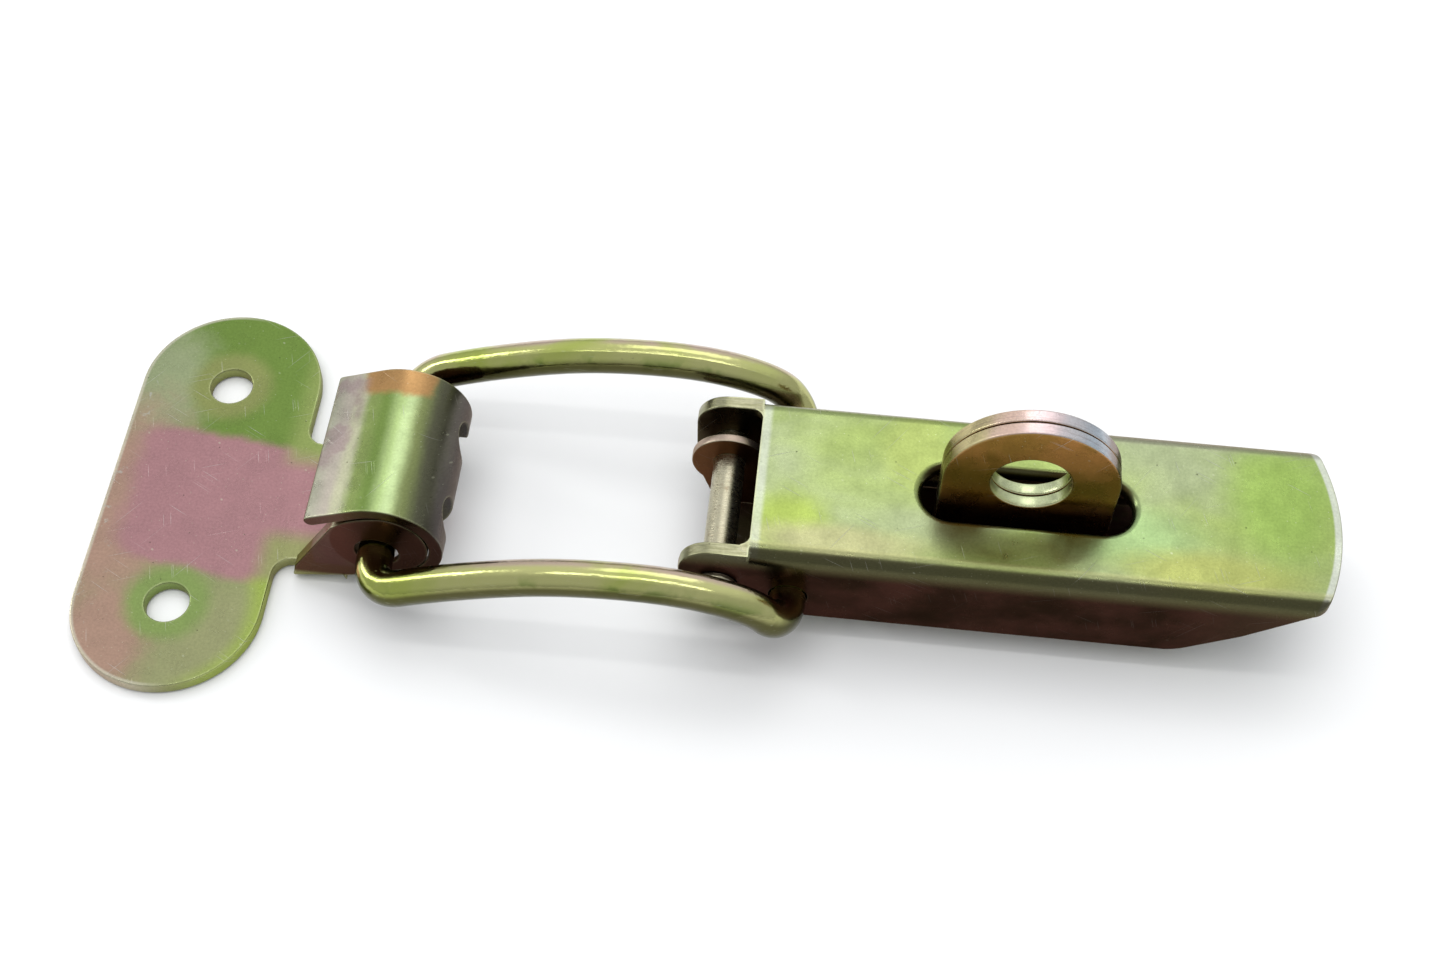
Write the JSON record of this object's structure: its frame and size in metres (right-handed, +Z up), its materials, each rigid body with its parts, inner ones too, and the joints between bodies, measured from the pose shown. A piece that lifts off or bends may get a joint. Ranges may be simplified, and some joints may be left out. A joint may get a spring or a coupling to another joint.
{
  "type": "toggle hasp and staple",
  "caption": "toggle latch hasp lying closed: pressed lever slotted over a padlock staple, bowed wire bail, curled strike plate, yellow zinc plate",
  "frame": {"origin": "on the mounting surface, straight below the fulcrum pin, on the centre plane", "axes": "+X from the fulcrum toward the lever tip, +Y across to the side away from the viewer, +Z up off the mounting surface; metres"},
  "size_m": [0.1372, 0.0514, 0.0291],
  "materials": {
    "zinc_plate": "iridescent yellow chromate over zinc, satin, worn",
    "zinc_wire": "glossy yellow chromate over zinc, worn",
    "plain_steel": "plain steel, satin"
  },
  "bodies": {
    "base": {"base_plate": "zinc_plate", "staple_front": "zinc_plate", "staple_rear": "zinc_plate", "staple_rivets": "plain_steel", "fulcrum_pin": "plain_steel"},
    "lever": {"toggle_lever": "zinc_plate"},
    "bail": {"wire_bail": "zinc_wire"},
    "strike": {"strike_plate": "zinc_plate"}
  },
  "joints": [
    {"name": "lever_hinge", "type": "hinge", "parent": "base", "child": "lever", "pos_m": [0, 0, 0.0086], "axis": [0, -1, 0], "range_deg": [0, 130]},
    {"name": "bail_hinge", "type": "hinge", "parent": "lever", "child": "bail", "pos_m": [0.0079, 0, 0.0076], "axis": [0, -1, 0], "range_deg": [-130, 0]},
    {"name": "strike_hinge", "type": "hinge", "parent": "bail", "child": "strike", "pos_m": [-0.0373, 0, 0.0072], "axis": [0, -1, 0], "range_deg": [-60, 45]}
  ],
  "couplings": [
    {"joint": "bail_hinge", "follows": "lever_hinge", "ratio": -1}
  ]
}
